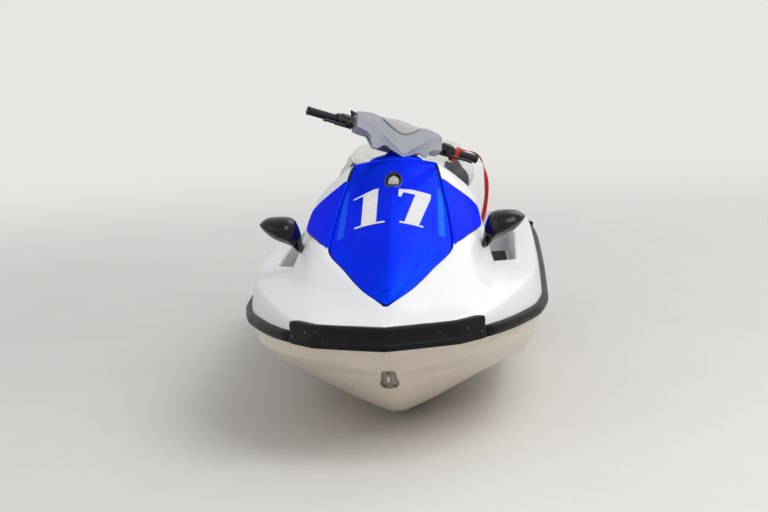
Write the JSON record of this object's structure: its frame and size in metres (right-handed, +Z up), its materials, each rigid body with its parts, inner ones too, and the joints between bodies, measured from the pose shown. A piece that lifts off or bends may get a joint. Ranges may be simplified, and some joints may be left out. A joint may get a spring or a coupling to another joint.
{
  "type": "personal watercraft",
  "caption": "Sit-down jet-driven personal watercraft with lifting hood, turning handlebar, steering nozzle, reverse gate and folding boarding step.",
  "frame": {"origin": "under the middle of the craft, on the floor that it stands on: the ride plate's underside is at z = 0", "axes": "+Y aft along the craft (the bow points to -Y), +Z up, +X to port"},
  "size_m": [1.174, 3.22, 1.1789],
  "materials": {
    "hull_gelcoat": "gelcoat, lightly scuffed",
    "deck_gelcoat": "gloss gelcoat",
    "rubrail": "satin, scuffed",
    "bumper": "satin, scuffed",
    "blue_paint": "metallic gloss",
    "black_plastic": "moulded, satin",
    "gloss_black": "gloss",
    "steel": "stainless",
    "seat_vinyl": "grained vinyl",
    "pump_alloy": "cast, satin",
    "engine_iron": "rough",
    "mat": "ribbed foam",
    "cover_grey": "grained",
    "grip_rubber": "ribbed",
    "red_webbing": "woven",
    "impeller_steel": "polished"
  },
  "bodies": {
    "root": {"hull": "hull_gelcoat", "foredeck": "deck_gelcoat", "side_decks": "deck_gelcoat", "aft_deck": "deck_gelcoat", "gunwale_rail": "rubrail", "bow_bumper": "bumper", "stern_bumper": "bumper", "side_panels": "blue_paint", "hood_hinge": "steel", "storage_bin": "black_plastic", "seat_front": "seat_vinyl", "seat_rear": "seat_vinyl", "grab_handle": "black_plastic", "mirrors": "gloss_black", "column_fairing": "blue_paint", "glovebox": "black_plastic", "glovebox_hinge": "steel", "jet_pump": "pump_alloy", "gate_brackets": "pump_alloy", "ride_plate": "pump_alloy", "intake_grate": "pump_alloy", "sponsons": "black_plastic", "engine": "engine_iron", "footwell_mats": "mat", "deck_mat": "mat", "bow_eye": "steel", "stern_eyes": "steel", "step_brackets": "steel"},
    "hood": {"hood": "blue_paint", "hood_latch": "black_plastic"},
    "glovebox_lid": {"glovebox_lid": "deck_gelcoat"},
    "handlebar": {"handlebar": "steel", "handlebar_cover": "cover_grey", "grips": "grip_rubber", "switch_housing": "black_plastic", "throttle_housing": "black_plastic", "lanyard_loop": "red_webbing", "lanyard": "red_webbing", "lanyard_clip": "black_plastic"},
    "impeller": {"impeller": "impeller_steel"},
    "steering_nozzle": {"steering_nozzle": "pump_alloy"},
    "reverse_gate": {"reverse_gate": "pump_alloy"},
    "boarding_step": {"boarding_step": "steel"},
    "reverse_lever": {"reverse_lever": "black_plastic"},
    "throttle_lever": {"throttle_lever": "black_plastic"}
  },
  "joints": [
    {"name": "hood_hinge", "type": "hinge", "parent": "root", "child": "hood", "pos_m": [0, -1.416, 0.559], "axis": [1, 0, 0], "range_deg": [0, 55]},
    {"name": "glovebox_lid_hinge", "type": "hinge", "parent": "root", "child": "glovebox_lid", "pos_m": [0, -0.086, 0.905], "axis": [-1, 0, 0], "range_deg": [0, 80]},
    {"name": "handlebar_turn", "type": "hinge", "parent": "root", "child": "handlebar", "pos_m": [0, -0.21, 1.035], "axis": [0, 0.6428, 0.766], "range_deg": [-61.6, 0]},
    {"name": "nozzle_turn", "type": "hinge", "parent": "root", "child": "steering_nozzle", "pos_m": [0, 1.456, 0.13], "axis": [0, 0, 1], "range_deg": [0, 49.28]},
    {"name": "impeller_spin", "type": "hinge", "parent": "root", "child": "impeller", "pos_m": [0, 1.2, 0.13], "axis": [0, 1, 0], "continuous": true},
    {"name": "reverse_gate_hinge", "type": "hinge", "parent": "root", "child": "reverse_gate", "pos_m": [0, 1.452, 0.13], "axis": [-1, 0, 0], "range_deg": [0, 75]},
    {"name": "boarding_step_hinge", "type": "hinge", "parent": "root", "child": "boarding_step", "pos_m": [0, 1.542, 0.172], "axis": [-1, 0, 0], "range_deg": [0, 115], "stiffness_Nm_per_rad": 1.5, "springref_deg": -34.38},
    {"name": "reverse_lever_hinge", "type": "hinge", "parent": "handlebar", "child": "reverse_lever", "pos_m": [0.20128, -0.14215, 0.94993], "axis": [0.4194, -0.1703, 0.8917], "range_deg": [0, 20], "stiffness_Nm_per_rad": 0.2, "springref_deg": -28.65},
    {"name": "throttle_lever_hinge", "type": "hinge", "parent": "handlebar", "child": "throttle_lever", "pos_m": [-0.18955, -0.32063, 1.09969], "axis": [-0.4194, 0.1703, -0.8917], "range_deg": [0, 20], "stiffness_Nm_per_rad": 0.2, "springref_deg": -28.65}
  ],
  "couplings": [
    {"joint": "nozzle_turn", "follows": "handlebar_turn", "ratio": -0.8}
  ]
}
